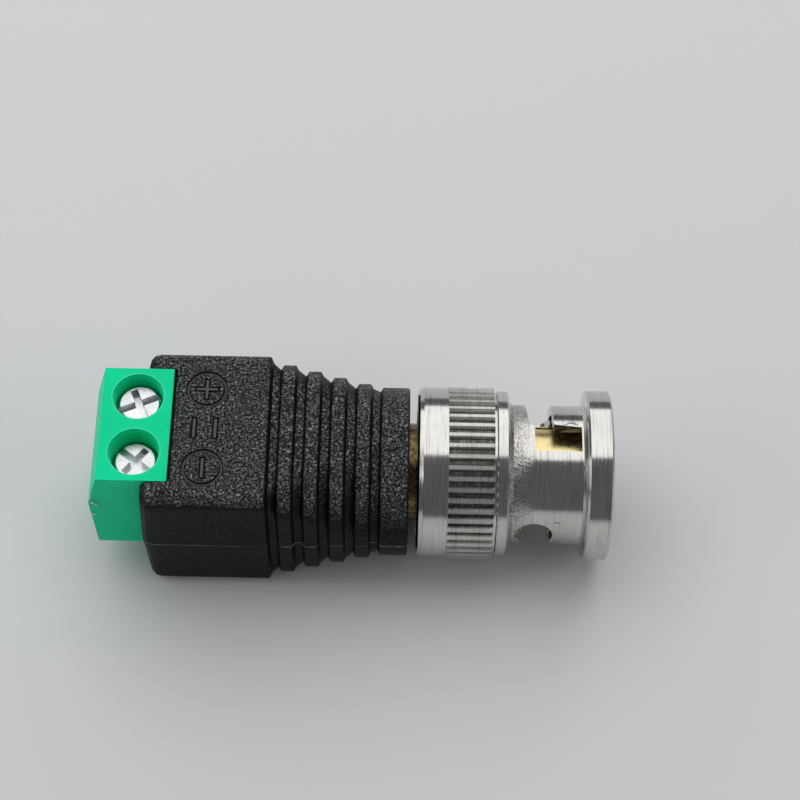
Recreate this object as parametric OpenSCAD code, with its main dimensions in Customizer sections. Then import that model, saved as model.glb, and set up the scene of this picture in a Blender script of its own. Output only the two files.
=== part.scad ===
// BNC plug to two-pole screw terminal adapter, millimetres.
// X runs along the plug from the wire side to the mating face, Z is up, and the
// moulded housing rests on z = 0. Stations along the plug are measured from the
// rear top edge of the terminal block and shifted so that the part is centred.

/* [Housing] */
// widest width of the housing, at its parting line
house_w = 14.4; // [13.8:0.1:16]
// width of the housing at its top and bottom faces
house_w_top = 14.1; // [13:0.1:15]
// station of the rear end of the side walls
house_x0 = 3.5; // [3:0.1:5]
// length of the smooth part, from the rear end to the first groove
smooth_len = 9.9; // [9:0.1:12]
// how far the rear ends of the side walls bulge back at the parting line
rear_bulge = 0.3; // [0:0.05:0.5]
// rounding of the rear edges of the side walls
rear_round = 0.9; // [0.5:0.05:1.1]
// rounding of the rear edge of the top wall
roof_round = 0.3; // [0.1:0.05:0.5]
// rounding of the long edges of the smooth part
edge_r = 1.25; // [0.6:0.05:2]
// number of raised ribs on the grip neck
rib_count = 4; // [2:1:4]
// distance between ribs
rib_pitch = 2.05; // [1.9:0.05:2.1]
// width of the flat top of a rib
rib_land = 1.05; // [0.8:0.05:1.3]
// depth of the grooves between the ribs
groove_depth = 0.4; // [0.2:0.05:0.6]
// corner radius of the first rib
rib_round_first = 2.9; // [2:0.1:3.5]
// corner radius of the last rib
rib_round_last = 6.3; // [5.5:0.1:6.4]
// radius of the round collar at the end of the neck
collar_r = 6.9; // [6.5:0.05:7]
// width of the collar
collar_len = 2.25; // [1.5:0.05:2.6]
// how far the notch in the top wall reaches in from the side walls
notch_len = 2.25; // [1.5:0.05:3]
// thickness of the top wall over the pocket
roof_t = 2.2; // [1.6:0.1:2.8]
// length of the hollow in front of the terminal block
hollow_len = 4.4; // [3.5:0.1:5]
// width of the hollow in front of the terminal block
hollow_w = 9; // [8:0.1:9.6]
// distance of the polarity marks ahead of the terminal block
mark_gap = 3; // [2.6:0.1:5]
// distance between the two polarity circles
mark_pitch = 7.2; // [6.6:0.1:8]
// how far the polarity marks sit off the middle of the housing
mark_shift = -0.27; // [-0.4:0.01:0.4]
// outer diameter of the polarity circles
mark_d = 3.3; // [2.5:0.1:4]
// width of the band that the circles are drawn with
mark_band = 0.25; // [0.15:0.05:0.4]
// length of the polarity bars
bar_len = 2; // [1.4:0.1:2.2]
// width of the polarity bars
bar_w = 0.5; // [0.4:0.05:0.7]
// width of the outline that the bars are drawn with
bar_line = 0.14; // [0.1:0.01:0.18]
// depth of the polarity marks
mark_depth = 0.15; // [0.08:0.01:0.25]

/* [Terminal block] */
// width of the terminal block
block_w = 10.3; // [10.2:0.1:10.8]
// height of the terminal block
block_h = 10.6; // [10:0.1:11]
// depth of the top face of the terminal block
block_top_len = 5.35; // [5:0.05:5.6]
// how far the rear face bulges behind its top edge
block_bulge = 0.95; // [0.3:0.05:1.2]
// depth of the bulge below the top face
bulge_drop = 3.8; // [3:0.1:5]
// how far the foot of the block reaches ahead of the top face
block_foot = 1.6; // [1:0.1:2.5]
// distance between the two poles
pole_pitch = 5.08; // [5:0.01:5.1]
// diameter of the screw holes in the top
screw_hole_d = 4.15; // [3.9:0.05:4.3]
// station of the screw axes
screw_x = 2.85; // [2.7:0.05:3]
// width and height of the wire entries
wire_w = 2.9; // [2.4:0.1:3]
// how far the flare round a wire entry reaches in
flare = 0.55; // [0.3:0.05:0.6]
// width of the ledge inside the mouth of a screw hole
ledge = 0.15; // [0.1:0.05:0.2]
// thickness of the block under the clamp frames
block_floor = 0.7; // [0.5:0.05:1]
// clearance between the block and its pocket
pocket_clear = 0.06; // [0.03:0.01:0.1]

/* [Terminals] */
// diameter of the screw heads
screw_head_d = 3.6; // [3.2:0.05:3.7]
// height of the screw heads
screw_head_h = 1.6; // [1.2:0.1:2]
// thread diameter of the screws
screw_d = 2.9; // [2.5:0.1:3]
// how far the head of the plus screw lies below the top face
sink_plus = 1.2; // [0.6:0.05:2]
// how far the head of the minus screw lies below the top face
sink_minus = 1.6; // [0.6:0.05:2]
// how far a fully tightened head lies below the top face
sink_shut = 2.55; // [2.4:0.05:2.8]
// thickness of the sheet that the clamp frames are folded from
clamp_t = 0.5; // [0.4:0.05:0.6]
// thickness of the threaded top of a clamp frame
clamp_top_t = 1.2; // [1:0.1:1.5]
// width of a clamp frame
clamp_w = 4.1; // [3.8:0.1:4.2]
// length of a clamp frame
clamp_len = 4.2; // [3.8:0.1:4.4]
// thickness of the pressure plates
plate_t = 0.45; // [0.3:0.05:0.6]
// length of the pressure plates
plate_len = 3.8; // [3:0.1:4]
// width of the pressure plates
plate_w = 2.7; // [2.4:0.1:2.8]
// clearance between a screw tip and its pressure plate
tip_clear = 0.03; // [0.02:0.01:0.05]
// width of the strips that run from the clamp frames to the plug
tail_w = 1.6; // [1:0.1:2]
// thickness of the strips
tail_t = 0.5; // [0.3:0.05:0.6]

/* [Plug] */
// diameter of the neck that the coupling nut turns on
neck_d = 8; // [7.6:0.05:8.1]
// diameter of the front flange of the plug body
flange_d = 9.64; // [9.4:0.02:9.7]
// length of the front flange of the plug body
flange_len = 3.4; // [2.4:0.1:3.6]
// diameter of the insulators inside the neck
core_d = 5.2; // [4.4:0.1:5.6]
// thickness of the ring seal
gasket_t = 0.9; // [0.6:0.1:1.2]
// thickness of the retaining ring
ring_t = 0.5; // [0.4:0.05:0.6]
// depth of the groove for the retaining ring
ring_groove = 0.4; // [0.3:0.05:0.6]
// thickness of the thrust washer
washer_t = 0.4; // [0.3:0.05:0.5]
// thickness of the wave washer strip
wave_t = 0.22; // [0.15:0.01:0.3]
// room that the wave washer keeps when the nut is pulled right forward
wave_room = 0.5; // [0.4:0.05:0.8]
// wall of the solder cup round the end of the centre pin
cup_wall = 0.3; // [0.2:0.05:0.4]
// outer diameter of the slotted contact sleeve
sleeve_d = 8.1; // [8:0.02:8.2]
// inner diameter of the slotted contact sleeve
sleeve_bore = 7; // [6.8:0.05:7.2]
// number of slots in the contact sleeve
sleeve_slots = 4; // [4:2:6]
// width of a sleeve slot
sleeve_slot_w = 0.5; // [0.3:0.05:0.7]
// diameter of the tip of the centre pin
pin_d = 1.35; // [1.3:0.01:1.4]
// distance of the pin tip behind the mating end of the nut
pin_recess = 1.5; // [1:0.1:3]
// distance of the sleeve tip behind the mating end of the nut
sleeve_recess = 0.6; // [0.3:0.1:1.5]

/* [Coupling nut] */
// station of the mating end of the nut
nut_front = 41.1; // [40.5:0.1:42]
// station of the rear end of the nut
nut_rear = 25.4; // [25.2:0.05:25.6]
// radius of the front flange and the rear ring
nut_r = 7; // [6.6:0.02:7.4]
// how far the knurl stands out from the flange radius
knurl_stand = 0.05; // [0:0.01:0.1]
// clearance between the knurl and the surface that the housing rests on
nut_lift = 0.05; // [0.03:0.01:0.2]
// length of the plain ring behind the knurl
rear_ring_len = 2.5; // [2:0.1:3]
// length of the knurl
knurl_len = 3.7; // [3:0.1:4]
// thickness of the thin ring ahead of the knurl
thin_ring = 1; // [0.5:0.05:1.1]
// thickness of the front flange
front_flange = 2.1; // [1.4:0.1:2.2]
// distance of the mating-side edge of the slot windows behind the mating end
window_front = 2.45; // [2.3:0.05:2.6]
// distance of the rear edge of the slot windows behind the mating end
window_back = 6.25; // [5.8:0.05:6.4]
// distance of the round seats behind the mating end
seat_back = 6.12; // [5.8:0.02:6.4]
// angle of the upper keyway about the plug axis
key_angle = 87.25; // [80:0.25:95]
// angle of the first round seat about the plug axis
seat_angle = -1; // [-5:0.5:5]
// number of knurl teeth
knurl_count = 48; // [36:2:60]
// depth of the knurl
knurl_depth = 0.4; // [0.2:0.05:0.5]
// radius of the bayonet barrel
barrel_r = 5.7; // [5.55:0.05:5.8]
// bore that slides over the mating jack
nut_bore = 9.8; // [9.76:0.02:9.9]
// width of the bayonet slots and keyways
slot_w = 2.3; // [2.1:0.05:2.4]
// diameter of the round seats at the end of the slots
seat_d = 3.1; // [2.6:0.05:3.3]
// radial clearance of parts that turn or slide on the neck
run_clear = 0.05; // [0.03:0.01:0.08]
// travel of the nut against its spring
nut_travel = 0.8; // [0.6:0.05:0.9]

/* [Hidden] */
$fn = 96;
eps = 0.01;
knurl_r = nut_r + knurl_stand;
axis_z = knurl_r + nut_lift;
house_h = 2 * axis_z;
floor_t = house_h - block_h - pocket_clear;
mid_x = (nut_front - block_bulge) / 2;
smooth_x1 = house_x0 + smooth_len;
rib_x0 = smooth_x1 + 0.95;
collar_x1 = nut_rear - 0.65;
collar_x0 = collar_x1 - collar_len;
block_z0 = floor_t + pocket_clear;
foot_x1 = block_top_len + block_foot;
foot_z1 = house_h - roof_t - pocket_clear;
pocket_x1 = foot_x1 + pocket_clear;
hollow_x1 = pocket_x1 + hollow_len;
cut_z1 = foot_z1 - 0.4;
well_z0 = house_h - sink_shut - screw_head_h - 0.05;
clamp_z1 = well_z0;
clamp_z0 = block_z0 + block_floor;
cut_z0 = clamp_z0 - 0.2;
wire_z0 = clamp_z0 + clamp_t;
wire_z1 = wire_z0 + wire_w;
plate_lift = 0.1;
shank_len = well_z0 + 0.05 - (wire_z0 + plate_lift + plate_t) - tip_clear;
body_x0 = hollow_x1 - 0.8;
lip_x1 = nut_rear + 2.1;
stack_x0 = lip_x1 + 0.1;
flange_x0 = stack_x0 + washer_t + nut_travel + wave_room;
flange_x1 = flange_x0 + flange_len;
sleeve_seat = flange_x0 + 0.25 * flange_len;
ins_joint = flange_x0 - 2;
core_r = core_d / 2;
cup_r = pin_d / 2 + cup_wall;
cup_x0 = foot_x1 + 1.5;
bend_x0 = foot_x1 + 0.8;
ring_x0 = nut_rear + 0.2;
ring_groove_d = neck_d - 2 * ring_groove;
pocket_ring_r = 5.1;
sleeve_x1 = nut_front - sleeve_recess;
pin_x1 = nut_front - pin_recess;
front_ins_x1 = flange_x1 + 0.6;
nose_x1 = front_ins_x1 + 0.8;
knurl_x0 = nut_rear + rear_ring_len;
knurl_x1 = knurl_x0 + knurl_len;
ring2_x0 = knurl_x1 + 0.2;
ring2_x1 = ring2_x0 + thin_ring;
flange_front_x0 = nut_front - front_flange;
seat_x = nut_front - seat_back;
window_half = asin(slot_w / 2 / barrel_r);
groove_slope = 0.2;
corner_n = 12;

// moves a piece drawn by stations along the plug axis to its place
module placed() {
    translate([-mid_x, 0, 0]) children();
}

// turns a shape drawn along z so that it lies along x from station x0
module along(x0) {
    translate([x0, 0, axis_z]) rotate([0, 90, 0]) children();
}

module rod(x0, x1, r) {
    along(x0) cylinder(r = r, h = x1 - x0);
}

module tube(x0, x1, r, bore) {
    difference() {
        rod(x0, x1, r);
        rod(x0 - 1, x1 + 1, bore);
    }
}

function mix(a, b, f) = a + (b - a) * f;

// points of a quarter round of a corner, from angle a to a + 90
function corner(cy, cz, r, a) =
    [for (i = [0:corner_n]) [cy + r * cos(a + 90 * i / corner_n), cz + r * sin(a + 90 * i / corner_n)]];

// cross section of the housing at fraction f of the way from its smooth part to the collar:
// drafted sides, corners rounded to radius r, all drawn inset by d
function section(f, r, d) =
    let (w = mix(house_w / 2, collar_r, f) - d, t = mix(house_w_top / 2, collar_r, f) - d)
    let (h = mix(house_h / 2, collar_r, f) - d, q = r - d)
    concat(
        [[w, 0]], corner(t - q, h - q, q, 0), corner(q - t, h - q, q, 90),
        [[-w, 0]], corner(q - t, q - h, q, 180), corner(t - q, q - h, q, 270)
    );

function rib_at(n) = rib_x0 + n * rib_pitch;

// stations of the housing, each with its place along the plug, fraction, corner radius and inset:
// the smooth part with its rounded rear, then the ribs, whose corners grow rounder toward the collar
STATIONS = concat(
    [for (a = [0:30:90])
        [house_x0 - rear_bulge + rear_round * (1 - cos(a)), 0, edge_r, rear_round * (1 - sin(a))]],
    [[smooth_x1 - 0.08, 0, edge_r, 0], [smooth_x1, 0, edge_r, 0.08]],
    [[smooth_x1 + groove_slope, 0, edge_r + 0.4, groove_depth]],
    [for (n = [0:rib_count - 1])
        let (f = (n + 1) / (rib_count + 1), x = rib_at(n), x1 = x + rib_land)
        let (r = mix(rib_round_first, rib_round_last, n / (rib_count - 1)))
        each [[x - groove_slope, f, r, groove_depth], [x, f, r, 0.05], [x + 0.08, f, r, 0],
            [x1 - 0.08, f, r, 0], [x1, f, r, 0.05], [x1 + groove_slope, f, r, groove_depth]]],
    [[collar_x0 - groove_slope + 0.1, 0.97, collar_r - 0.05, groove_depth + 0.03]]
);

// skin drawn through all stations; the rear end leans in above and below the parting line
module outer_form() {
    function lean(x, z) = rear_bulge * abs(z) / axis_z * max(0, smooth_x1 - x) / smooth_len;
    rings = [for (s = STATIONS)
        [for (p = section(s[1], s[2], s[3])) [s[0] + lean(s[0], p[1]), p[0], axis_z + p[1]]]];
    m = len(rings[0]);
    last = (len(rings) - 1) * m;
    polyhedron([for (ring = rings) each ring], concat(
        [[for (k = [0:m / 2]) k], [for (k = [m / 2:m]) k % m], [for (k = [m - 1:-1:0]) last + k]],
        [for (i = [0:len(rings) - 2], k = [0:m - 1], h = [0, 1])
            let (a = i * m, b = a + m, j = (k + 1) % m)
            h == 0 ? [a + k, b + k, b + j] : [a + k, b + j, a + j]]
    ));
}

// round collar next to the coupling nut
module collar() {
    e = 0.15;
    along(0) rotate_extrude() polygon([
        [0, collar_x0 - groove_slope], [collar_r - groove_depth, collar_x0 - groove_slope],
        [collar_r - 0.05, collar_x0], [collar_r, collar_x0 + 0.08], [collar_r, collar_x1 - e],
        [collar_r - e, collar_x1], [0, collar_x1]
    ]);
}

// a shape sunk into the top face, standing mark_depth below it
module sunk(x, y) {
    translate([x, y, house_h - mark_depth]) linear_extrude(1) children();
}

module bar_shape(lx, ly) {
    square([lx, ly], center = true);
}

module ring_mark(x, y) {
    sunk(x, y) difference() {
        circle(d = mark_d);
        circle(d = mark_d - 2 * mark_band);
    }
}

// outline of a bar that lies across the plug
module bar_mark(x, y) {
    sunk(x, y) difference() {
        bar_shape(bar_w, bar_len);
        bar_shape(bar_w - 2 * bar_line, bar_len - 2 * bar_line);
    }
}

// polarity marks: circled plus on the +Y side, circled minus on the -Y side, and between
// them the two strokes that stand for direct current
module marks() {
    x = block_top_len + mark_gap;
    translate([0, mark_shift, 0]) {
        for (s = [-1, 1]) ring_mark(x, s * mark_pitch / 2);
        bar_mark(x, -mark_pitch / 2);
        sunk(x, mark_pitch / 2) difference() {
            union() {
                bar_shape(bar_w, bar_len);
                bar_shape(bar_len, bar_w);
            }
            bar_shape(bar_w - 2 * bar_line, bar_len - 2 * bar_line);
            bar_shape(bar_len - 2 * bar_line, bar_w - 2 * bar_line);
        }
        for (s = [-1, 1]) bar_mark(x + s * 1.7 * bar_w, 0);
    }
}

module housing() {
    color("#1c1e20") placed() difference() {
        union() {
            outer_form();
            collar();
        }
        // pocket for the terminal block, open at the rear, and the notch in the top wall
        translate([0, -block_w / 2 - pocket_clear, floor_t])
            cube([pocket_x1, block_w + 2 * pocket_clear, foot_z1 + pocket_clear - floor_t]);
        translate([0, -block_w / 2 - pocket_clear, floor_t])
            cube([house_x0 + notch_len, block_w + 2 * pocket_clear, house_h]);
        translate([house_x0 + notch_len + roof_round, 0, house_h - roof_round]) rotate([90, 0, 0])
            difference() {
                translate([-roof_round - 1, 0, -block_w / 2]) cube([roof_round + 1, roof_round + 1, block_w]);
                cylinder(r = roof_round, h = house_w, center = true);
            }
        // hollow for the terminal tails
        translate([pocket_x1 - eps, -hollow_w / 2, cut_z0])
            cube([hollow_len + eps, hollow_w, cut_z1 - cut_z0]);
        // seat of the plug body
        rod(body_x0, collar_x1 + 1, neck_d / 2);
        marks();
    }
}

module terminal_block() {
    top = house_h;
    pts = [[0, top], [-block_bulge * 0.97, top - bulge_drop], [-block_bulge, top - bulge_drop - 0.1],
        [0.2 - block_bulge, block_z0], [foot_x1, block_z0], [foot_x1, foot_z1],
        [block_top_len, foot_z1], [block_top_len, top]];
    color("#00c08c") placed() difference() {
        translate([0, block_w / 2, 0]) rotate([90, 0, 0]) linear_extrude(block_w) polygon(pts);
        for (s = [-1, 1]) translate([0, s * pole_pitch / 2, 0]) {
            // screw well with a narrower ledge just inside its mouth
            translate([screw_x, 0, top - 3 * ledge])
                cylinder(d1 = screw_hole_d - 2 * ledge, d2 = screw_hole_d, h = 3 * ledge + eps);
            translate([screw_x, 0, well_z0]) cylinder(d = screw_hole_d - 2 * ledge, h = block_h);
            // room for the clamp frame, open to the foot face where the frame is slid in
            translate([screw_x - clamp_len / 2, -clamp_w / 2, clamp_z0])
                cube([foot_x1 + 1 - screw_x + clamp_len / 2, clamp_w, clamp_z1 - clamp_z0]);
            // wire entry with a flared mouth
            translate([-3, -wire_w / 2, wire_z0]) cube([6, wire_w, wire_z1 - wire_z0]);
            translate([-block_bulge - eps, 0, (wire_z0 + wire_z1) / 2]) rotate([45, 0, 0]) rotate([0, 90, 0])
                cylinder(d1 = (wire_w + 2 * flare) * sqrt(2), d2 = wire_w * sqrt(2), h = 2 * flare, $fn = 4);
        }
    }
}

// folded clamp frame: threaded top, two sides and a floor, open along x
module clamp(s) {
    w = clamp_w - 0.04;
    translate([0, s * pole_pitch / 2, 0]) difference() {
        translate([screw_x - clamp_len / 2 + 0.02, -w / 2, clamp_z0]) cube([clamp_len, w, clamp_z1 - clamp_z0]);
        translate([-5, -w / 2 + clamp_t, wire_z0])
            cube([20, w - 2 * clamp_t, clamp_z1 - clamp_top_t - wire_z0]);
        translate([screw_x, 0, clamp_z1 - 3]) cylinder(d = screw_d + 2 * run_clear, h = 4);
    }
}

module clamp_plus() {
    color("#c8c8c2") placed() clamp(1);
}

module clamp_minus() {
    color("#c8c8c2") placed() clamp(-1);
}

// first two legs of a tail: forward from its clamp frame, then up to the plug axis
module tail_legs(s) {
    x0 = screw_x + clamp_len / 2 + 0.02;
    translate([x0, s * pole_pitch / 2 - tail_w / 2, clamp_z0])
        cube([bend_x0 + tail_t - x0, tail_w, tail_t]);
    translate([bend_x0, s * pole_pitch / 2 - tail_w / 2, clamp_z0])
        cube([tail_t, tail_w, axis_z - clamp_z0 + tail_t / 2]);
}

// tail of the plus pole: crosses over to the cup of the centre pin
module tail_plus() {
    lug_w = 2 * cup_r - 1.1;
    color("#c9a25a") placed() union() {
        tail_legs(1);
        translate([bend_x0, -lug_w / 2, axis_z - tail_t / 2])
            cube([tail_t, (pole_pitch + tail_w + lug_w) / 2, tail_t]);
        translate([bend_x0, -lug_w / 2, axis_z - tail_t / 2]) cube([cup_x0 + 1.1 - bend_x0, lug_w, tail_t]);
    }
}

// tail of the minus pole: runs on to the rear face of the plug body
module tail_minus() {
    color("#c9a25a") placed() union() {
        tail_legs(-1);
        translate([bend_x0, -pole_pitch / 2 - tail_w / 2, axis_z - tail_t / 2])
            cube([body_x0 - bend_x0, tail_w, tail_t]);
    }
}

// pressure plate with two gripping grooves, pushed onto the wire by its screw
module plate(s, sink) {
    open = sink_shut - sink;
    z = wire_z0 + plate_lift + open;
    translate([screw_x, s * pole_pitch / 2, z]) difference() {
        translate([-plate_len / 2, -plate_w / 2, 0]) cube([plate_len, plate_w, plate_t]);
        for (i = [-1, 1]) translate([i * plate_len / 4, 0, -plate_t]) rotate([90, 0, 0])
            cylinder(r = 1.25 * plate_t, h = 2 * plate_w, center = true);
    }
}

module plate_plus() {
    color("#d8d8d2") placed() plate(1, sink_plus);
}

module plate_minus() {
    color("#d8d8d2") placed() plate(-1, sink_minus);
}

// terminal screw: slotted pan head and a shank that ends just above its plate
module screw(s, sink) {
    tilt = s > 0 ? 24 : -38;
    z = house_h - sink - screw_head_h;
    translate([screw_x, s * pole_pitch / 2, z]) rotate([0, 0, tilt]) difference() {
        union() {
            rotate_extrude() polygon([[0, 0], [screw_head_d / 2, 0], [screw_head_d / 2, screw_head_h - 0.35],
                [screw_head_d / 2 - 0.25, screw_head_h], [0, screw_head_h]]);
            translate([0, 0, -shank_len + 0.15]) cylinder(d = screw_d, h = shank_len);
            translate([0, 0, -shank_len]) cylinder(d1 = screw_d - 0.5, d2 = screw_d, h = 0.2);
        }
        translate([-3, -0.3, screw_head_h - 0.7]) cube([6, 0.6, 2]);
        translate([-0.3, -1.35, screw_head_h - 0.7]) cube([0.6, 2.7, 2]);
    }
}

module screw_plus() {
    color("#b9bcc0") placed() screw(1, sink_plus);
}

module screw_minus() {
    color("#b9bcc0") placed() screw(-1, sink_minus);
}

// turned plug body: neck held in the housing, ring groove, and a flange inside the nut
module plug_body() {
    r = neck_d / 2;
    color("#d9b45c") placed() difference() {
        along(0) rotate_extrude() polygon([
            [0, body_x0 + 0.02], [r - 0.2, body_x0 + 0.02], [r, body_x0 + 0.3],
            [r, ring_x0], [ring_groove_d / 2, ring_x0], [ring_groove_d / 2, ring_x0 + ring_t],
            [r, ring_x0 + ring_t], [r, flange_x0], [flange_d / 2 - 0.15, flange_x0],
            [flange_d / 2, flange_x0 + 0.15], [flange_d / 2, flange_x1], [0, flange_x1]
        ]);
        // bore for the insulators and counterbore for the contact sleeve
        rod(body_x0 - 1, flange_x1 + 1, core_r);
        rod(sleeve_seat, flange_x1 + 1, sleeve_d / 2);
    }
}

module rear_insulator() {
    color("#e9e6dc") placed() tube(body_x0 + 0.02, ins_joint, core_r, cup_r);
}

module front_insulator() {
    nose_r = cup_r + 1.1;
    color("#f2f1ec") placed() along(0) rotate_extrude() polygon([
        [cup_r, ins_joint], [core_r, ins_joint], [core_r, sleeve_seat], [sleeve_bore / 2, sleeve_seat],
        [sleeve_bore / 2, front_ins_x1], [nose_r, front_ins_x1], [nose_r, nose_x1], [cup_r, nose_x1]
    ]);
}

// contact sleeve: spring fingers parted by slots, with a slight bead at the tip
module contact_sleeve() {
    r = sleeve_d / 2;
    b = sleeve_bore / 2;
    relief = 0.12;
    color("#e3cb84") placed() difference() {
        along(0) rotate_extrude() polygon([
            [b, sleeve_seat], [r, sleeve_seat], [r, flange_x1 + 1.6], [r - relief, flange_x1 + 1.9],
            [r - relief, sleeve_x1 - 1.5], [r, sleeve_x1 - 0.9], [r, sleeve_x1 - 0.5], [r - 0.3, sleeve_x1],
            [b + 0.1, sleeve_x1], [b, sleeve_x1 - 0.2]
        ]);
        for (i = [0:sleeve_slots / 2 - 1]) rotate_about(45 + i * 360 / sleeve_slots)
            translate([flange_x1 + 2.4, -sleeve_slot_w / 2, -sleeve_d])
                cube([sleeve_x1 - flange_x1, sleeve_slot_w, 2 * sleeve_d]);
    }
}

// turns a shape drawn about the x axis and lifts it to the plug axis
module rotate_about(a) {
    translate([0, 0, axis_z]) rotate([a, 0, 0]) children();
}

module centre_pin() {
    r = pin_d / 2;
    slot_half = cup_r - 0.55 + 0.02;
    color("#e0b64a") placed() difference() {
        along(0) rotate_extrude() polygon([
            [0, cup_x0], [cup_r, cup_x0], [cup_r, nose_x1], [r, nose_x1 + 0.2], [r, pin_x1 - 0.8],
            [r * 0.35, pin_x1], [0, pin_x1]
        ]);
        translate([cup_x0 - 1, -slot_half, axis_z - tail_t / 2 - 0.02])
            cube([2.15, 2 * slot_half, 2 * cup_r]);
    }
}

module gasket() {
    color("#b8452f") placed() tube(flange_x1, flange_x1 + gasket_t, flange_d / 2 - 0.05, sleeve_d / 2 + 0.02);
}

// spring ring in the groove of the neck, open at the bottom
module retaining_ring() {
    color("#c9b070") placed() difference() {
        tube(ring_x0 + 0.02, ring_x0 + ring_t - 0.02, pocket_ring_r - 0.15, ring_groove_d / 2);
        translate([ring_x0 - 1, -0.8, axis_z - 8]) cube([4, 1.6, 8]);
    }
}

module thrust_washer() {
    color("#cdb06a") placed()
        tube(stack_x0 - 0.02, stack_x0 + washer_t - 0.02, nut_bore / 2 - 0.15, neck_d / 2 + run_clear);
}

// three-wave spring washer between the thrust washer and the flange of the body
module wave_washer() {
    t = wave_t;
    x0 = stack_x0 + washer_t + 0.03;
    amp = (flange_x0 - 0.03 - x0 - t) / 2;
    r0 = neck_d / 2 + 0.12;
    r1 = nut_bore / 2 - 0.15;
    n = 36;
    function lift(i) = x0 + amp * (1 + cos(i * 3 * 360 / n));
    function ringpt(i, r, dx) = [lift(i) + dx, r * cos(i * 360 / n), axis_z + r * sin(i * 360 / n)];
    pts = [for (i = [0:n - 1]) each [ringpt(i, r0, 0), ringpt(i, r1, 0), ringpt(i, r1, t), ringpt(i, r0, t)]];
    color("#c7c9cc") placed() polyhedron(pts, [for (i = [0:n - 1], k = [0:3], h = [0, 1])
        let (a = 4 * i, b = 4 * ((i + 1) % n), m = (k + 1) % 4)
        h == 0 ? [a + k, a + m, b + m] : [a + k, b + m, b + k]]);
}

// bayonet slot between the window and the round seat: part of the way, then how far its rear
// and its mating-side edge lie from the middle of the seat along the plug
SLOT = [[0.033, 0.38, 1.47], [0.095, 0.66, 1.4], [0.26, 0.71, 1.37], [0.42, 0.76, 1.42],
    [0.57, 0.83, 1.47], [0.8, 0.98, 1.37], [1, 1.08, 1.22]];

// all cam stations: angle about the plug axis, and both edges in mm behind the mating end
CAM = concat(
    [for (s = [1, -1]) [key_angle + s * window_half, window_back, window_front]],
    [for (p = SLOT)
        [mix(key_angle - window_half, seat_angle - 3, p[0]), seat_back + p[1], seat_back - p[2]]]
);

// cutter with radial sides swept along the cam table, from inside the bore to outside the barrel
module cam_cut() {
    r = [nut_bore / 2 - 0.9, barrel_r + 0.6];
    n = len(CAM);
    function at(i, rad, e) = [nut_front - CAM[i][e], rad * cos(CAM[i][0]), axis_z + rad * sin(CAM[i][0])];
    pts = [for (i = [0:n - 1]) each [at(i, r[0], 1), at(i, r[1], 1), at(i, r[1], 2), at(i, r[0], 2)]];
    polyhedron(pts, concat(
        [[0, 1, 2], [0, 2, 3], [4 * n - 1, 4 * n - 2, 4 * n - 3], [4 * n - 1, 4 * n - 3, 4 * n - 4]],
        [for (i = [0:n - 2], k = [0:3], h = [0, 1])
            let (a = 4 * i, b = 4 * i + 4, m = (k + 1) % 4)
            h == 0 ? [a + k, b + m, a + m] : [a + k, b + k, b + m]]
    ));
}

module half_turn() {
    children();
    translate([0, 0, 2 * axis_z]) rotate([180, 0, 0]) children();
}

module coupling_nut() {
    tooth = 360 / knurl_count;
    color("#b4b1a8") placed() difference() {
        union() {
            along(0) rotate_extrude() polygon([
                [0, nut_rear], [nut_r - 0.45, nut_rear], [nut_r - 0.12, nut_rear + 0.18],
                [nut_r, nut_rear + 0.5], [nut_r, knurl_x0], [nut_r - knurl_depth, knurl_x0 + 0.1],
                [nut_r - knurl_depth, ring2_x0], [nut_r - 0.3, ring2_x0], [nut_r - 0.2, ring2_x0 + 0.1],
                [nut_r - 0.2, ring2_x1 - 0.15], [nut_r - 0.35, ring2_x1], [barrel_r + 0.35, ring2_x1],
                [barrel_r, ring2_x1 + 0.35], [barrel_r, flange_front_x0 - 0.2],
                [barrel_r + 0.2, flange_front_x0], [nut_r - 0.15, flange_front_x0 + 0.08],
                [nut_r, flange_front_x0 + 0.25], [nut_r, nut_front - 0.15], [nut_r - 0.15, nut_front],
                [0, nut_front]
            ]);
            // straight knurl
            along(knurl_x0) linear_extrude(knurl_x1 - knurl_x0) polygon([
                for (i = [0:knurl_count - 1], k = [[0, 0], [0.18, 1], [0.5, 1], [0.68, 0]])
                    let (a = (i + k[0]) * tooth, r = k[1] == 1 ? knurl_r : knurl_r - knurl_depth)
                    [r * cos(a), r * sin(a)]
            ]);
        }
        // bore for the jack, running bore on the neck, and the recess round the retaining ring
        rod(lip_x1, nut_front + 1, nut_bore / 2);
        rod(nut_rear - 1, nut_front, neck_d / 2 + run_clear);
        rod(nut_rear - 1, ring_x0 + ring_t + 0.12, pocket_ring_r + 0.15);
        along(nut_front - 0.3) cylinder(r1 = nut_bore / 2 - 0.01, r2 = nut_bore / 2 + 0.35, h = 0.31);
        half_turn() {
            cam_cut();
            // round seat at the end of the cam
            translate([seat_x, 0, axis_z]) rotate([90 + seat_angle, 0, 0]) translate([0, 0, -9])
                cylinder(d = seat_d, h = 9);
            // keyway from the mating end to the window
            translate([nut_front - 5, 0, axis_z]) rotate([key_angle - 90, 0, 0])
                translate([0, -slot_w / 2, 0]) cube([6, slot_w, barrel_r - 0.12]);
        }
    }
}

housing();
terminal_block();
clamp_plus();
clamp_minus();
tail_plus();
tail_minus();
plate_plus();
plate_minus();
screw_plus();
screw_minus();
plug_body();
rear_insulator();
front_insulator();
contact_sleeve();
centre_pin();
gasket();
retaining_ring();
thrust_washer();
wave_washer();
coupling_nut();
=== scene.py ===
import math

import bpy
import bmesh
from mathutils import Matrix, Vector
from mathutils.bvhtree import BVHTree


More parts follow.
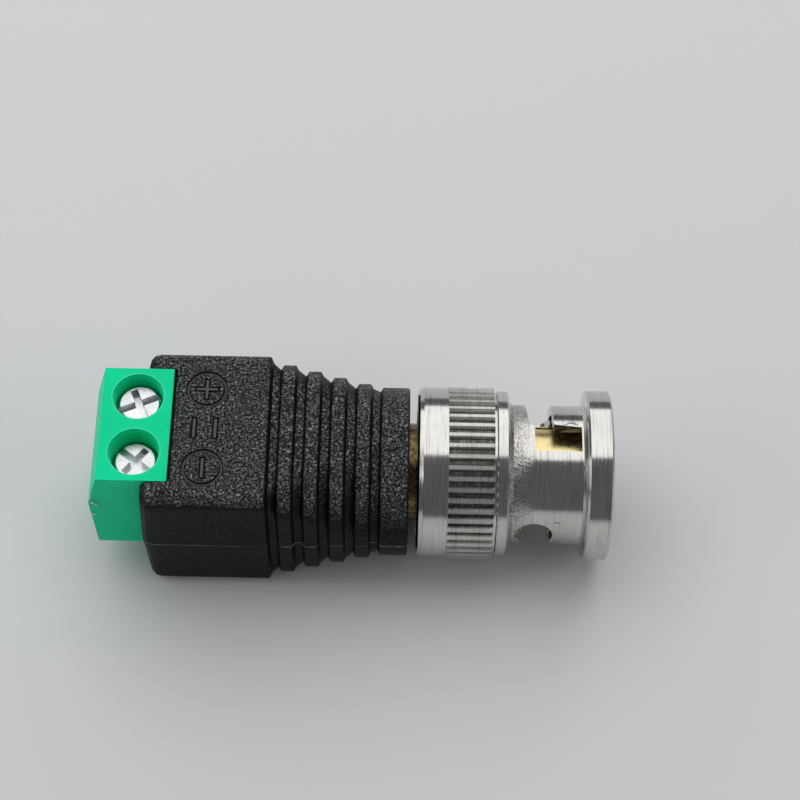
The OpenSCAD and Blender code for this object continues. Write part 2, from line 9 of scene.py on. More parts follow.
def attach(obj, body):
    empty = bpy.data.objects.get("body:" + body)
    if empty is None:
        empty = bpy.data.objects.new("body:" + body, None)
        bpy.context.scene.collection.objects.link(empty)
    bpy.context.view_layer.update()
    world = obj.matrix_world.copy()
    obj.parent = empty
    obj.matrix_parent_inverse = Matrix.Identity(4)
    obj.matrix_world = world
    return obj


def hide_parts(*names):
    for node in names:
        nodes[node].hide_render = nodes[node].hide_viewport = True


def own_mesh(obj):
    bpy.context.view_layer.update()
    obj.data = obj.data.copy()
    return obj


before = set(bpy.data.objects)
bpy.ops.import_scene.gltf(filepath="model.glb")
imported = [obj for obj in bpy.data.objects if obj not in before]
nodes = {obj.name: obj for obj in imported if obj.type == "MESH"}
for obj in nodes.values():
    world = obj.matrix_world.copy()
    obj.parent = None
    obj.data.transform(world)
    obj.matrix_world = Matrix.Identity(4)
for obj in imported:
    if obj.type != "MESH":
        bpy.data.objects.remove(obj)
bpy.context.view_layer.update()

# Camera. It looks down on the adapter from the side, at the photograph's angle and
# distance, with the wire end at the left and the mating end at the right.
eye = Vector((0.003334, -0.086730, 0.167077))
camera_yaw = -0.005533
camera_down = 1.041526
camera_roll = 0.025546
focal_mm = 99.0

ahead = Vector((-math.sin(camera_yaw) * math.cos(camera_down),
                math.cos(camera_yaw) * math.cos(camera_down), -math.sin(camera_down)))
level = Vector((math.cos(camera_yaw), math.sin(camera_yaw), 0))
upward = level.cross(ahead)
right = math.cos(camera_roll) * level + math.sin(camera_roll) * upward
top = math.cos(camera_roll) * upward - math.sin(camera_roll) * level

camera_data = bpy.data.cameras.new("camera")
camera_data.sensor_width = 36
camera_data.lens = focal_mm
camera_data.clip_start = 0.005
camera_data.clip_end = 20
camera = bpy.data.objects.new("camera", camera_data)
camera.matrix_world = Matrix((
    (right.x, top.x, -ahead.x, eye.x),
    (right.y, top.y, -ahead.y, eye.y),
    (right.z, top.z, -ahead.z, eye.z),
    (0, 0, 0, 1)))
bpy.context.collection.objects.link(camera)
bpy.context.scene.camera = camera
bpy.context.scene.view_settings.view_transform = "Standard"


def new_material(name):
    """A material with one Principled shader: returns it, its tree and the shader."""
    material = bpy.data.materials.new(name)
    material.use_nodes = True
    tree = material.node_tree
    return material, tree, tree.nodes["Principled BSDF"]


# Floor and studio light. A wide pale sheet carries the adapter, one large soft lamp hangs
# above and behind it, and two weaker ones fill in from the sides.
floor_shade = (0.76, 0.76, 0.77, 1)
sheet = bpy.data.meshes.new("floor")
sheet_mesh = bmesh.new()
bmesh.ops.create_grid(sheet_mesh, x_segments=1, y_segments=1, size=2.0)
sheet_mesh.to_mesh(sheet)
sheet_mesh.free()
floor = bpy.data.objects.new("floor", sheet)
floor.location.z = -0.0001
bpy.context.collection.objects.link(floor)
paper, paper_tree, paper_shader = new_material("paper")
paper_shader.inputs["Base Color"].default_value = floor_shade
paper_shader.inputs["Roughness"].default_value = 0.9
floor.data.materials.append(paper)

world = bpy.data.worlds.new("studio")
world.use_nodes = True
world.node_tree.nodes["Background"].inputs["Color"].default_value = (0.9, 0.95, 1, 1)
world.node_tree.nodes["Background"].inputs["Strength"].default_value = 0.14
bpy.context.scene.world = world


def soft_lamp(name, place, aim, size, watts):
    """A square soft lamp at a place in metres, turned toward a point."""
    data = bpy.data.lights.new(name, "AREA")
    data.size = size
    data.energy = watts
    lamp = bpy.data.objects.new(name, data)
    lamp.location = place
    lamp.rotation_euler = (Vector(aim) - Vector(place)).to_track_quat("-Z", "Y").to_euler()
    bpy.context.collection.objects.link(lamp)


soft_lamp("lamp_over", (-0.05, 0.27, 0.42), (0, 0, 0), 0.80, 2.7)
soft_lamp("lamp_left", (-0.45, -0.10, 0.25), (0, 0, 0), 0.40, 0.5)
soft_lamp("lamp_right", (0.45, -0.12, 0.30), (0, 0, 0), 0.40, 0.45)


def grain_group():
    """Shared surface grain: a fine height pattern and a slow blotchy tone, both over the piece."""
    group = bpy.data.node_groups.new("surface_grain", "ShaderNodeTree")
    group.interface.new_socket(name="grain size", in_out="INPUT", socket_type="NodeSocketFloat")
    group.interface.new_socket(name="blotch size", in_out="INPUT", socket_type="NodeSocketFloat")
    group.interface.new_socket(name="height", in_out="OUTPUT", socket_type="NodeSocketFloat")
    group.interface.new_socket(name="blotch", in_out="OUTPUT", socket_type="NodeSocketFloat")
    into = group.nodes.new("NodeGroupInput")
    out = group.nodes.new("NodeGroupOutput")
    place = group.nodes.new("ShaderNodeTexCoord")
    for number, (size, result) in enumerate((("grain size", "height"), ("blotch size", "blotch"))):
        per_metre = group.nodes.new("ShaderNodeMath")
        per_metre.operation = "DIVIDE"
        per_metre.inputs[0].default_value = 1
        noise = group.nodes.new("ShaderNodeTexNoise")
        noise.inputs["Detail"].default_value = 3 + number
        noise.inputs["Roughness"].default_value = 0.6
        group.links.new(into.outputs[size], per_metre.inputs[1])
        group.links.new(per_metre.outputs[0], noise.inputs["Scale"])
        group.links.new(place.outputs["Object"], noise.inputs["Vector"])
        group.links.new(noise.outputs["Fac"], out.inputs[result])
    return group


surface_grain = grain_group()


def add_grain(tree, grain_size, blotch_size):
    """Places the shared grain in a material, with its own sizes in metres."""
    grain = tree.nodes.new("ShaderNodeGroup")
    grain.node_tree = surface_grain
    grain.inputs["grain size"].default_value = grain_size
    grain.inputs["blotch size"].default_value = blotch_size
    return grain


def ramp(tree, source, stops):
    """A colour ramp over a 0 to 1 value."""
    node = tree.nodes.new("ShaderNodeValToRGB")
    elements = node.color_ramp.elements
    while len(elements) < len(stops):
        elements.new(0.5)
    for element, (position, colour) in zip(elements, stops):
        element.position = position
        element.color = colour if len(colour) == 4 else (*colour, 1)
    tree.links.new(source, node.inputs["Fac"])
    return node.outputs["Color"]


def bump(tree, shader, height, strength, distance):
    """Feeds a height into the shader's normal."""
    node = tree.nodes.new("ShaderNodeBump")
    node.inputs["Strength"].default_value = strength
    node.inputs["Distance"].default_value = distance
    tree.links.new(height, node.inputs["Height"])
    tree.links.new(node.outputs["Normal"], shader.inputs["Normal"])
    return node


def dress(material, *names):
    """Gives CAD nodes their material."""
    for name in names:
        slots = nodes[name].data.materials
        slots.clear()
        slots.append(material)


def math_node(tree, operation, first, second=None):
    """A math node over sockets or plain numbers."""
    node = tree.nodes.new("ShaderNodeMath")
    node.operation = operation
    for socket, value in zip(node.inputs, (first, second)):
        if value is None:
            continue
        if isinstance(value, (int, float)):
            socket.default_value = value
        else:
            tree.links.new(value, socket)
    return node.outputs["Value"]


def spread(tree, value, low, high, to_low, to_high):
    """Maps a value between two limits onto two others and clamps it there."""
    node = tree.nodes.new("ShaderNodeMapRange")
    for name, number in (("From Min", low), ("From Max", high), ("To Min", to_low), ("To Max", to_high)):
        node.inputs[name].default_value = number
    tree.links.new(value, node.inputs["Value"])
    return node.outputs["Result"]


def places(tree):
    """The place on the piece in metres, as three separate values."""
    where = tree.nodes.new("ShaderNodeTexCoord")
    split = tree.nodes.new("ShaderNodeSeparateXYZ")
    tree.links.new(where.outputs["Object"], split.inputs["Vector"])
    return split.outputs["X"], split.outputs["Y"], split.outputs["Z"]


def mix_colours(tree, share, first, second):
    """Blends two colours, each a socket or a plain value."""
    node = tree.nodes.new("ShaderNodeMix")
    node.data_type = "RGBA"
    tree.links.new(share, node.inputs["Factor"])
    for name, value in (("A", first), ("B", second)):
        if isinstance(value, tuple):
            node.inputs[name].default_value = value
        else:
            tree.links.new(value, node.inputs[name])
    return node.outputs["Result"]


def line_at(tree, value, middle, half):
    """One on a thin line round a value, falling to zero at half its width."""
    away = math_node(tree, "ABSOLUTE", math_node(tree, "SUBTRACT", value, middle))
    return spread(tree, away, half * 0.4, half, 1, 0)


# Housing. Moulded black nylon, with a leathery grain on its top and ribs that fades on the upright sides, and a fine
# seam at half height where the two halves of the mould met. Its colour carries painted light: the level faces are
# painted lighter than the upright sides, with painted highlight sparkles on the grain's peaks, the seam has a painted
# highlight line, and the sunken marks have a painted sheen on the ring's floor and painted shade at their edges and
# on the stroke floors.
plug_axis_z = 0.0071
seam_half = 0.00004
roof_z = 0.0142
mark_depth = 0.00015
marks_x = -0.011725
marks_y = -0.00027
ring_y = 0.0036
ring_outer = 0.00165
ring_inner = 0.0014
stroke_x = 0.00085
stroke_half_w = 0.00011
stroke_half_l = 0.00086
nylon, tree, shader = new_material("black_nylon")
shader.inputs["Specular IOR Level"].default_value = 0.07
grain = add_grain(tree, 0.00018, 0.003)
facing = tree.nodes.new("ShaderNodeNewGeometry")
split = tree.nodes.new("ShaderNodeSeparateXYZ")
tree.links.new(facing.outputs["Normal"], split.inputs["Vector"])
# The level faces: their grain gets its bump here, and their colour is painted lighter than the upright sides, as
# light falls.
level_face = math_node(tree, "MULTIPLY", spread(tree, math_node(tree, "ABSOLUTE", split.outputs["Z"]), 0.3, 0.7, 0.06, 1),
                       spread(tree, math_node(tree, "ABSOLUTE", split.outputs["X"]), 0.3, 0.75, 1, 0.05))
x, y, z = places(tree)
looks_up = math_node(tree, "MULTIPLY", math_node(tree, "GREATER_THAN", split.outputs["Z"], 0.97),
                     math_node(tree, "LESS_THAN", x, marks_x + ring_outer + 0.0002))
sunken = math_node(tree, "MULTIPLY", looks_up, line_at(tree, z, roof_z - mark_depth, 0.0001))
across = math_node(tree, "ABSOLUTE", math_node(tree, "SUBTRACT", x, marks_x))
beside = math_node(tree, "SUBTRACT", y, marks_y)
off_ring = math_node(tree, "ABSOLUTE", math_node(tree, "SUBTRACT", math_node(tree, "ABSOLUTE", beside), ring_y))
from_ring = math_node(tree, "SQRT", math_node(tree, "ADD", math_node(tree, "MULTIPLY", across, across),
                                              math_node(tree, "MULTIPLY", off_ring, off_ring)))


def both_below(tree, first, first_limit, second, second_limit):
    """One where both values are below their limits."""
    return math_node(tree, "MULTIPLY", math_node(tree, "LESS_THAN", first, first_limit),
                     math_node(tree, "LESS_THAN", second, second_limit))


off_stroke = math_node(tree, "ABSOLUTE", math_node(tree, "SUBTRACT", across, stroke_x))
strokes = both_below(tree, off_stroke, stroke_half_w, math_node(tree, "ABSOLUTE", beside), stroke_half_l)
bars = both_below(tree, across, stroke_half_w, off_ring, stroke_half_l)
plus_bar = math_node(tree, "MULTIPLY", both_below(tree, across, stroke_half_l, off_ring, stroke_half_w),
                     math_node(tree, "GREATER_THAN", beside, 0))
ring_band = math_node(tree, "LESS_THAN", math_node(
    tree, "ABSOLUTE", math_node(tree, "SUBTRACT", from_ring, (ring_outer + ring_inner) / 2)),
    (ring_outer - ring_inner) / 2 + 0.00003)
ring_floor = math_node(tree, "MULTIPLY", ring_band, sunken)
in_mark = math_node(tree, "MULTIPLY", looks_up, math_node(tree, "MAXIMUM", ring_floor, math_node(
    tree, "MAXIMUM", strokes, math_node(tree, "MAXIMUM", bars, plus_bar))))
outline = math_node(tree, "MULTIPLY", looks_up, math_node(
    tree, "MAXIMUM", line_at(tree, from_ring, ring_outer, 0.00005), line_at(tree, from_ring, ring_inner, 0.00005)))
# Painted shade: dark lines at the ring's edges, and dark floors in the sunken strokes and bars, standing in for the
# shade in these recesses.
mark_painted_shade = math_node(tree, "MAXIMUM", outline, math_node(
    tree, "MULTIPLY", sunken, math_node(tree, "SUBTRACT", 1, ring_band)))
seam = line_at(tree, z, plug_axis_z, seam_half)
# Painted highlight: a light grey line along the seam, standing in for light caught by the flash there, patchy and
# strongest toward both ends.
seam_painted_highlight = math_node(tree, "MULTIPLY", seam, math_node(
    tree, "MAXIMUM", spread(tree, grain.outputs["blotch"], 0.42, 0.6, 0.15, 1), math_node(
        tree, "MAXIMUM", spread(tree, x, -0.0158, -0.0125, 1, 0), spread(tree, x, -0.006, -0.002, 0, 1))))
leather = math_node(tree, "MULTIPLY", spread(tree, grain.outputs["height"], 0.36, 0.64, 0, 1),
                    math_node(tree, "MULTIPLY", level_face, math_node(
                        tree, "SUBTRACT", 1, math_node(tree, "MAXIMUM", in_mark, sunken))))
height = math_node(tree, "ADD", leather, math_node(tree, "MULTIPLY", seam, 0.6))
bump(tree, shader, height, 1.0, 0.00016)
# Grain tone with painted highlight sparkles: dark valleys, and peaks painted up to a light grey that stands in for
# glints of light. This is laid on the level faces only.
grain_tone_and_painted_sparkle = ramp(tree, grain.outputs["height"], (
    (0.36, (0.008, 0.0083, 0.009)), (0.49, (0.058, 0.060, 0.064)), (0.60, (0.21, 0.214, 0.225)),
    (0.70, (0.42, 0.425, 0.44))))
grain_with_painted_top_light = mix_colours(tree, level_face, ramp(tree, grain.outputs["blotch"], (
    (0.3, (0.003, 0.0031, 0.0034)), (0.7, (0.005, 0.0052, 0.0056)))), grain_tone_and_painted_sparkle)
# Painted sheen: the ring's smooth floor is painted a lighter grey, and the marks' painted shade is laid over it.
with_painted_mark_sheen = mix_colours(tree, in_mark, grain_with_painted_top_light, (0.095, 0.097, 0.102, 1))
with_painted_mark_shade = mix_colours(tree, mark_painted_shade, with_painted_mark_sheen, (0.004, 0.004, 0.0045, 1))
with_seam_highlight = mix_colours(tree, seam_painted_highlight, with_painted_mark_shade, (0.42, 0.42, 0.43, 1))
tree.links.new(with_seam_highlight, shader.inputs["Base Color"])
tree.links.new(ramp(tree, grain.outputs["blotch"], (
    (0.3, (0.34,) * 3), (0.7, (0.46,) * 3))), shader.inputs["Roughness"])
dress(nylon, "housing")


def skin_of(name):
    """A node's surface, ready to be probed with rays."""
    data = nodes[name].data
    return BVHTree.FromPolygons([v.co for v in data.vertices], [f.vertices for f in data.polygons])


def add_piece(name, points, faces, material, body, smooth=True):
    """A mesh piece that rides a body of the frame."""
    data = bpy.data.meshes.new(name)
    data.from_pydata(points, [], faces)
    data.validate()
    data.materials.append(material)
    piece = bpy.data.objects.new(name, data)
    bpy.context.collection.objects.link(piece)
    mesh = bmesh.new()
    mesh.from_mesh(data)
    bmesh.ops.recalc_face_normals(mesh, faces=mesh.faces)
    mesh.to_mesh(data)
    mesh.free()
    for face in data.polygons:
        face.use_smooth = smooth
    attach(piece, body)
    return piece


def swept(rings):
    """Points and faces of a closed skin through rings of equally many points."""
    count = len(rings[0])
    points = [point for ring in rings for point in ring]
    faces = [tuple(range(count)), tuple(range(len(points) - 1, len(points) - count - 1, -1))]
    for start in range(0, len(points) - count, count):
        for k in range(count):
            following = (k + 1) % count
            faces.append((start + k, start + following, start + count + following, start + count + k))
    return points, faces


# Moulding flash. A ragged lip of nylon a few hundredths of a millimetre thick that squeezed out along the seam,
# strongest on the ribs and at the rounded rear ends of the side walls. Its light grey colour is a painted highlight,
# standing in for the light the thin lip catches.
flash_nylon_painted_highlight, tree, shader = new_material("flash_nylon_painted_highlight")
grain = add_grain(tree, 0.00015, 0.0009)
tree.links.new(ramp(tree, grain.outputs["blotch"], (
    (0.35, (0.05, 0.05, 0.052)), (0.65, (0.28, 0.28, 0.29)))), shader.inputs["Base Color"])
shader.inputs["Roughness"].default_value = 0.35
flash_thick = 0.00008
flash_reach = 0.00013
flash_step = 0.00008
widest = 0.0072
housing_skin = skin_of("housing")
for side, side_name in ((-1, "minus"), (1, "plus")):
    rings = []
    for number in range(int(0.0215 / flash_step)):
        x_here = -0.01683 + number * flash_step
        hit = housing_skin.ray_cast(Vector((x_here, side * 0.02, plug_axis_z)), Vector((0, -side, 0)))[0]
        if hit is None:
            continue
        ragged = 0.5 + 0.3 * math.sin(number * 0.71 + side) + 0.2 * math.sin(number * 1.93)
        patch = max(0.0, math.sin(x_here * 900 + 1.2 * side)) ** 0.5
        reach = min(flash_reach * ragged * patch, widest - abs(hit.y) - 0.000002)
        inner = hit.y - side * 0.00003
        outer = hit.y + side * max(reach, -0.00001)
        rings.append([(x_here, inner, plug_axis_z - flash_thick / 2), (x_here, outer, plug_axis_z - flash_thick / 5),
                      (x_here, outer, plug_axis_z + flash_thick / 5), (x_here, inner, plug_axis_z + flash_thick / 2)])
    add_piece("flash_" + side_name, *swept(rings), flash_nylon_painted_highlight, "body")

# Terminal block. Moulded in bright green polyamide, glossy on top, with a fine joint line
# along its sides where the cap of the housing part is fused to the foot.
joint_line_z = 0.0105
hole_x = -0.017225
hole_y = 0.00254
hole_radius = 0.002075
rim_half = 0.00005
block_top = 0.0142
polyamide, tree, shader = new_material("green_polyamide")
shader.inputs["Specular IOR Level"].default_value = 0.10
grain = add_grain(tree, 0.0009, 0.004)
x, y, z = places(tree)
joint_line = line_at(tree, z, joint_line_z, 0.00006)
from_hole = math_node(tree, "SQRT", math_node(
    tree, "ADD", math_node(tree, "POWER", math_node(tree, "SUBTRACT", x, hole_x), 2),
    math_node(tree, "POWER", math_node(tree, "SUBTRACT", math_node(tree, "ABSOLUTE", y), hole_y), 2)))
# Painted highlight: a light line round the rim of each screw hole, standing in for light caught by its edge.
hole_rim_highlight = math_node(tree, "MULTIPLY", line_at(tree, from_hole, hole_radius + rim_half, rim_half),
                     math_node(tree, "GREATER_THAN", z, block_top - 0.0001))
green = ramp(tree, grain.outputs["blotch"], (
    (0.3, (0.0, 0.74, 0.33)), (0.7, (0.0, 0.83, 0.40))))
with_rim_highlight = mix_colours(tree, math_node(tree, "MULTIPLY", hole_rim_highlight, 0.6), green, (0.14, 0.88, 0.58, 1))
lined = mix_colours(tree, math_node(tree, "MULTIPLY", joint_line, 0.7), with_rim_highlight, (0.08, 0.85, 0.56, 1))
tree.links.new(lined, shader.inputs["Base Color"])
tree.links.new(ramp(tree, grain.outputs["height"], (
    (0.3, (0.36,) * 3), (0.7, (0.48,) * 3))), shader.inputs["Roughness"])
height = math_node(tree, "ADD", math_node(tree, "MULTIPLY", grain.outputs["height"], 0.3), joint_line)
bump(tree, shader, height, 0.6, 0.00003)
dress(polyamide, "terminal_block")

# Lip of the block. The front edge of the cap, moulded on with it, reaches to just short of
# the housing's roof and leaves a narrow dark gap there.
lip_half = 0.00515
lip_low = 0.0127
rings = [[(x_here, -lip_half, lip_low), (x_here, lip_half, lip_low),
          (x_here, lip_half, block_top - 0.000002), (x_here, -lip_half, block_top - 0.000002)]
         for x_here in (-0.01474, -0.014475)]
add_piece("block_lip", *swept(rings), polyamide, "body", smooth=False)


def hair(name, path, thick, material, body):
    """A tapering sliver drawn through a few points."""
    rings = []
    for number, point in enumerate(path):
        along_it = Vector(path[min(number + 1, len(path) - 1)]) - Vector(path[max(number - 1, 0)])
        across = along_it.orthogonal().normalized()
        other = along_it.cross(across).normalized()
        radius = thick * (0.25 + 0.75 * math.sin(math.pi * (number + 0.5) / len(path)))
        rings.append([tuple(Vector(point) + radius * (math.cos(a) * across + math.sin(a) * other))
                      for a in (0, math.pi / 2, math.pi, 3 * math.pi / 2)])
    add_piece(name, *swept(rings), material, body)


# Burrs on the block. Hair-thin curls of green plastic at its rear edge, where the wires' side was trimmed, paler than
# the block because they are so thin, and painted brighter still as a painted highlight, standing in for the light
# they catch in the block's shade.
burr_green_and_highlight, tree, shader = new_material("burr_pale_and_painted_highlight")
grain = add_grain(tree, 0.0002, 0.001)
tree.links.new(ramp(tree, grain.outputs["blotch"], (
    (0.3, (0.62, 0.88, 0.76)), (0.7, (0.88, 0.94, 0.90)))), shader.inputs["Base Color"])
shader.inputs["Roughness"].default_value = 0.4
block_side = -0.00515
hair("burr_curl", [(-0.02090, block_side - 0.00003, 0.01028), (-0.02078, block_side - 0.00010, 0.01044),
                   (-0.02060, block_side - 0.00015, 0.01048), (-0.02042, block_side - 0.00014, 0.01030),
                   (-0.02028, block_side - 0.00010, 0.01000), (-0.02018, block_side - 0.00003, 0.00966)],
     0.00008, burr_green_and_highlight, "body")
hair("burr_low", [(-0.02086, block_side - 0.00002, 0.00842), (-0.02070, block_side - 0.00008, 0.00846),
                  (-0.02052, block_side - 0.00003, 0.00838)], 0.00008, burr_green_and_highlight, "body")
hair("burr_edge", [(-0.02070, block_side - 0.00002, 0.01160), (-0.02074, block_side - 0.00006, 0.01130),
                   (-0.02082, block_side - 0.00005, 0.01096), (-0.02090, block_side - 0.00001, 0.01062)],
     0.00005, burr_green_and_highlight, "body")

# Clamp frames and pressure plates. Folded and stamped steel with a dull tin coat.
tin, tree, shader = new_material("tinned_steel")
shader.inputs["Metallic"].default_value = 1
grain = add_grain(tree, 0.0003, 0.002)
tree.links.new(ramp(tree, grain.outputs["blotch"], (
    (0.3, (0.50, 0.50, 0.48)), (0.7, (0.62, 0.62, 0.60)))), shader.inputs["Base Color"])
shader.inputs["Roughness"].default_value = 0.38
bump(tree, shader, grain.outputs["height"], 0.2, 0.00003)
dress(tin, "clamp_plus", "clamp_minus", "plate_plus", "plate_minus")

# Terminal screws. Cold headed steel with a bright zinc coat, turned by a blade or cross tip.
thread_pitch = 0.0005
thread_top = 0.010000
zinc, tree, shader = new_material("zinc_plate")
shader.inputs["Metallic"].default_value = 1
grain = add_grain(tree, 0.0002, 0.0012)
x, y, z = places(tree)
own_y = math_node(tree, "SUBTRACT", y, math_node(tree, "MULTIPLY", math_node(tree, "SIGN", y), hole_y))
around = math_node(tree, "DIVIDE", math_node(tree, "ARCTAN2", own_y, math_node(tree, "SUBTRACT", x, hole_x)), 2 * math.pi)
thread = math_node(tree, "PINGPONG", math_node(
    tree, "SUBTRACT", math_node(tree, "DIVIDE", z, thread_pitch), around), 0.5)
thread = math_node(tree, "MULTIPLY", thread, math_node(tree, "LESS_THAN", z, thread_top))
tree.links.new(ramp(tree, grain.outputs["blotch"], (
    (0.3, (0.56, 0.57, 0.60)), (0.7, (0.72, 0.72, 0.73)))), shader.inputs["Base Color"])
tree.links.new(ramp(tree, grain.outputs["height"], (
    (0.3, (0.22,) * 3), (0.7, (0.38,) * 3))), shader.inputs["Roughness"])
bump(tree, shader, math_node(tree, "ADD", math_node(tree, "MULTIPLY", grain.outputs["height"], 0.04), thread),
     1.0, 0.0003)
dress(zinc, "screw_plus", "screw_minus")

# Tails. Strips of tinned brass that carry each pole forward inside the housing.
strip, tree, shader = new_material("tinned_brass_strip")
shader.inputs["Metallic"].default_value = 1
grain = add_grain(tree, 0.0002, 0.0015)
tree.links.new(ramp(tree, grain.outputs["blotch"], (
    (0.35, (0.62, 0.50, 0.30)), (0.65, (0.70, 0.66, 0.58)))), shader.inputs["Base Color"])
shader.inputs["Roughness"].default_value = 0.35
bump(tree, shader, grain.outputs["height"], 0.2, 0.00003)
dress(strip, "tail_plus", "tail_minus")

def lines_group():
    """Shared tool marks: fine uneven rings round the plug axis."""
    group = bpy.data.node_groups.new("turned_lines", "ShaderNodeTree")
    group.interface.new_socket(name="line size", in_out="INPUT", socket_type="NodeSocketFloat")
    group.interface.new_socket(name="height", in_out="OUTPUT", socket_type="NodeSocketFloat")
    into = group.nodes.new("NodeGroupInput")
    out = group.nodes.new("NodeGroupOutput")
    x, y, z = places(group)
    stretched = group.nodes.new("ShaderNodeCombineXYZ")
    group.links.new(math_node(group, "DIVIDE", x, into.outputs["line size"]), stretched.inputs["X"])
    group.links.new(math_node(group, "MULTIPLY", y, 260), stretched.inputs["Y"])
    group.links.new(math_node(group, "MULTIPLY", z, 260), stretched.inputs["Z"])
    noise = group.nodes.new("ShaderNodeTexNoise")
    noise.inputs["Scale"].default_value = 1
    noise.inputs["Detail"].default_value = 2
    group.links.new(stretched.outputs["Vector"], noise.inputs["Vector"])
    group.links.new(noise.outputs["Fac"], out.inputs["height"])
    return group


turned_lines = lines_group()


def add_lines(tree, line_size):
    """Places the shared tool marks in a material, with their spacing in metres."""
    lines = tree.nodes.new("ShaderNodeGroup")
    lines.node_tree = turned_lines
    lines.inputs["line size"].default_value = line_size
    return lines.outputs["height"]


# Plug body, contact sleeve and thrust washer. Turned brass with fine rings from the tool.
neck_front = 0.0062
brass, tree, shader = new_material("turned_brass")
shader.inputs["Metallic"].default_value = 1
grain = add_grain(tree, 0.0004, 0.003)
x, y, z = places(tree)
# Painted shade: the neck between the housing and the nut is painted dark brown, standing in for the shade in that
# gap, with a few grains left lighter.
neck_painted_shade = math_node(tree, "MULTIPLY", spread(tree, x, neck_front - 0.0005, neck_front, 1, 0),
                    spread(tree, grain.outputs["height"], 0.42, 0.62, 0.98, 0.70))
clean = ramp(tree, grain.outputs["blotch"], (
    (0.3, (0.60, 0.49, 0.22)), (0.7, (0.74, 0.62, 0.32))))
tree.links.new(mix_colours(tree, neck_painted_shade, clean, (0.07, 0.045, 0.02, 1)), shader.inputs["Base Color"])
tree.links.new(ramp(tree, grain.outputs["height"], (
    (0.3, (0.20,) * 3), (0.7, (0.32,) * 3))), shader.inputs["Roughness"])
speckle = math_node(tree, "MULTIPLY", grain.outputs["height"], 0.8)
bump(tree, shader, math_node(tree, "ADD", speckle, add_lines(tree, 0.00006)), 0.35, 0.00002)
dress(brass, "plug_body", "contact_sleeve", "thrust_washer")

# Centre pin. Turned brass under a thin coat of gold, with a solder cup behind.
gold, tree, shader = new_material("gold_plate")
shader.inputs["Metallic"].default_value = 1
grain = add_grain(tree, 0.0002, 0.001)
tree.links.new(ramp(tree, grain.outputs["blotch"], (
    (0.3, (0.80, 0.57, 0.20)), (0.7, (0.88, 0.66, 0.28)))), shader.inputs["Base Color"])
shader.inputs["Roughness"].default_value = 0.2
bump(tree, shader, grain.outputs["height"], 0.15, 0.00002)
dress(gold, "centre_pin")

# Insulators. Turned from a waxy white plastic, one behind the other on the centre pin.
waxy, tree, shader = new_material("white_insulator")
grain = add_grain(tree, 0.0005, 0.003)
tree.links.new(ramp(tree, grain.outputs["blotch"], (
    (0.3, (0.74, 0.73, 0.69)), (0.7, (0.82, 0.81, 0.78)))), shader.inputs["Base Color"])
shader.inputs["Roughness"].default_value = 0.4
shader.inputs["Subsurface Weight"].default_value = 0.1
shader.inputs["Subsurface Scale"].default_value = 0.001
bump(tree, shader, grain.outputs["height"], 0.15, 0.00003)
dress(waxy, "rear_insulator", "front_insulator")

# Ring seal. Soft red-brown silicone, pressed against the flange of the plug body.
silicone, tree, shader = new_material("silicone")
grain = add_grain(tree, 0.0005, 0.002)
tree.links.new(ramp(tree, grain.outputs["blotch"], (
    (0.3, (0.36, 0.08, 0.04)), (0.7, (0.44, 0.12, 0.06)))), shader.inputs["Base Color"])
shader.inputs["Roughness"].default_value = 0.6
bump(tree, shader, grain.outputs["height"], 0.2, 0.00003)
dress(silicone, "gasket")

# Retaining ring and wave washer. Hardened spring strip, bright from the mill.
spring, tree, shader = new_material("spring_strip")
shader.inputs["Metallic"].default_value = 1
grain = add_grain(tree, 0.0002, 0.002)
tree.links.new(ramp(tree, grain.outputs["blotch"], (
    (0.3, (0.40, 0.39, 0.37)), (0.7, (0.55, 0.54, 0.52)))), shader.inputs["Base Color"])
shader.inputs["Roughness"].default_value = 0.3
bump(tree, shader, grain.outputs["height"], 0.2, 0.00002)
dress(spring, "retaining_ring")

# Wave washer. A ring of the same strip bent in waves round the neck, which flattens against the flange of the plug
# body as the nut slides forward. A fixed copy of its mesh rides the body and stands in for the rigid solid, which is
# hidden.
wave_strip = nodes["wave_washer"].data
wave = add_piece("wave_spring", [tuple(v.co) for v in wave_strip.vertices],
                 [tuple(f.vertices) for f in wave_strip.polygons], spring, "body", smooth=False)
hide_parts("wave_washer")
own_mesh(wave)

# Coupling nut. Zinc die casting under polished nickel, left rough from the mould at the
# root of the barrel and between the knurl teeth, with fine rings from polishing elsewhere.
root_start = 0.01273
root_full = 0.0130
root_end = 0.0150
knurl_start = 0.00782
knurl_end = 0.01153
knurl_foot = 0.00662
knurl_top = 0.00690
nickel, tree, shader = new_material("nickel_casting")
shader.inputs["Metallic"].default_value = 1
grain = add_grain(tree, 0.00022, 0.003)
x, y, z = places(tree)
up = math_node(tree, "SUBTRACT", z, plug_axis_z)
from_axis = math_node(tree, "SQRT", math_node(tree, "ADD", math_node(tree, "MULTIPLY", y, y),
                                              math_node(tree, "MULTIPLY", up, up)))
rough_root = math_node(tree, "MULTIPLY", spread(tree, x, root_full, root_end, 1, 0),
                       math_node(tree, "GREATER_THAN", x, root_start))
on_knurl = math_node(tree, "MULTIPLY", math_node(tree, "GREATER_THAN", x, knurl_start),
                     math_node(tree, "LESS_THAN", x, knurl_end))
ragged = math_node(tree, "ADD", from_axis, spread(tree, grain.outputs["height"], 0.35, 0.65, -0.00007, 0.00007))
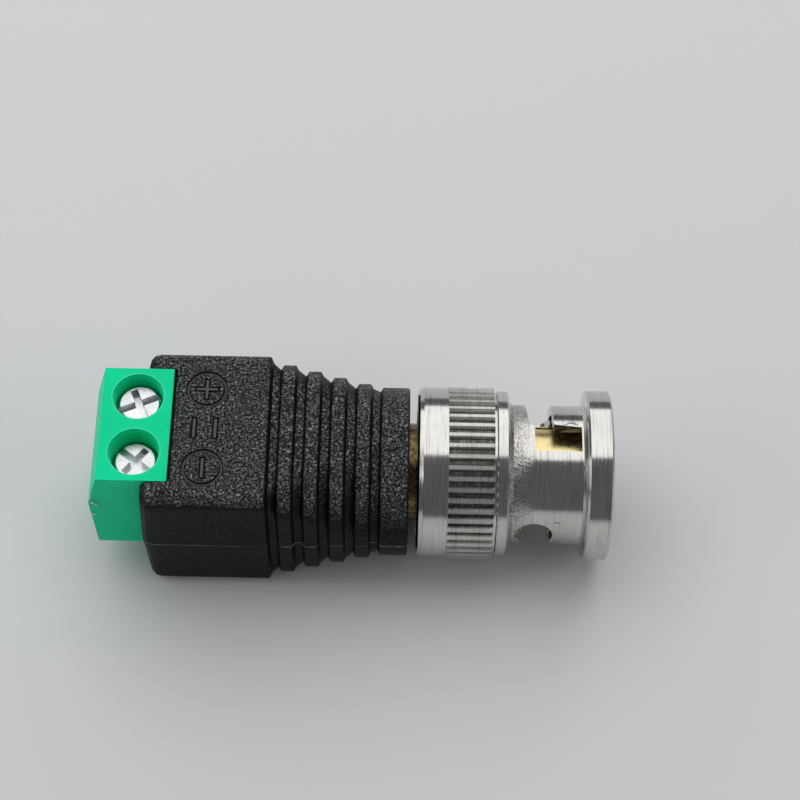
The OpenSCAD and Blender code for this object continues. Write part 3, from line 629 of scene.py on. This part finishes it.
# Darker and rougher at the foot of the knurl teeth, along a ragged edge.
knurl_foot_dark_rough = math_node(tree, "MULTIPLY", on_knurl, spread(tree, ragged, knurl_foot, knurl_top, 1, 0))
cast = math_node(tree, "ADD", math_node(tree, "MULTIPLY", rough_root, 1.9),
                 math_node(tree, "ADD", math_node(tree, "MULTIPLY", on_knurl, 0.4), 0.04))
speckles = add_grain(tree, 0.00014, 0.0008)
relief = math_node(tree, "MULTIPLY", math_node(tree, "MULTIPLY", math_node(
    tree, "ADD", grain.outputs["height"], speckles.outputs["height"]), 0.5), cast)
rings = add_lines(tree, 0.00013)
rings_relief = math_node(tree, "MULTIPLY", rings, 0.3)
bump(tree, shader, math_node(tree, "ADD", relief, rings_relief), 0.7, 0.00008)
clean = ramp(tree, grain.outputs["blotch"], (
    (0.3, (0.52, 0.505, 0.475)), (0.7, (0.66, 0.645, 0.61))))
plating = mix_colours(tree, spread(tree, rings, 0.52, 0.68, 0, 0.55), clean, (0.30, 0.30, 0.30, 1))
pits = math_node(tree, "MULTIPLY", rough_root, spread(tree, speckles.outputs["height"], 0.50, 0.58, 0, 0.85))
pitted = mix_colours(tree, pits, plating, (0.12, 0.12, 0.12, 1))
tree.links.new(mix_colours(tree, knurl_foot_dark_rough, pitted, (0.10, 0.098, 0.09, 1)), shader.inputs["Base Color"])
unpolished = math_node(tree, "MAXIMUM", math_node(tree, "MULTIPLY", on_knurl, 0.32),
                       math_node(tree, "MULTIPLY", rough_root, 0.08))
tree.links.new(math_node(tree, "ADD", spread(tree, grain.outputs["height"], 0.3, 0.7, 0.10, 0.19),
                         math_node(tree, "MAXIMUM", unpolished, math_node(tree, "MULTIPLY", knurl_foot_dark_rough, 0.4))),
               shader.inputs["Roughness"])
dress(nickel, "coupling_nut")


def on_barrel(x_place, degrees, radius):
    """A point on the nut at a place along the plug and an angle about its axis."""
    turn = math.radians(degrees)
    return (x_place, radius * math.cos(turn), plug_axis_z + radius * math.sin(turn))


# Burrs on the nut. Bright slivers of plating that peeled up at the edges of the slots and
# where the barrel was trimmed.
hair("sliver_slot", [on_barrel(0.0161, 72, 0.00571), on_barrel(0.0163, 66, 0.00578),
                     on_barrel(0.0166, 60, 0.00577), on_barrel(0.0168, 52, 0.00571)],
     0.00004, nickel, "nut")
hair("sliver_window", [on_barrel(0.0172, 74, 0.00571), on_barrel(0.0176, 70, 0.00579),
                       on_barrel(0.0180, 71, 0.00577), on_barrel(0.0183, 74, 0.00571)],
     0.000045, nickel, "nut")
hair("sliver_barrel", [on_barrel(0.0164, 163, 0.00570), on_barrel(0.0166, 161, 0.00575),
                       on_barrel(0.0169, 162, 0.00575), on_barrel(0.0170, 164, 0.00570)],
     0.00003, nickel, "nut")
hair("sliver_root", [on_barrel(0.0129, 150, 0.00586), on_barrel(0.0131, 146, 0.00592),
                     on_barrel(0.0134, 143, 0.00584)], 0.00005, nickel, "nut")
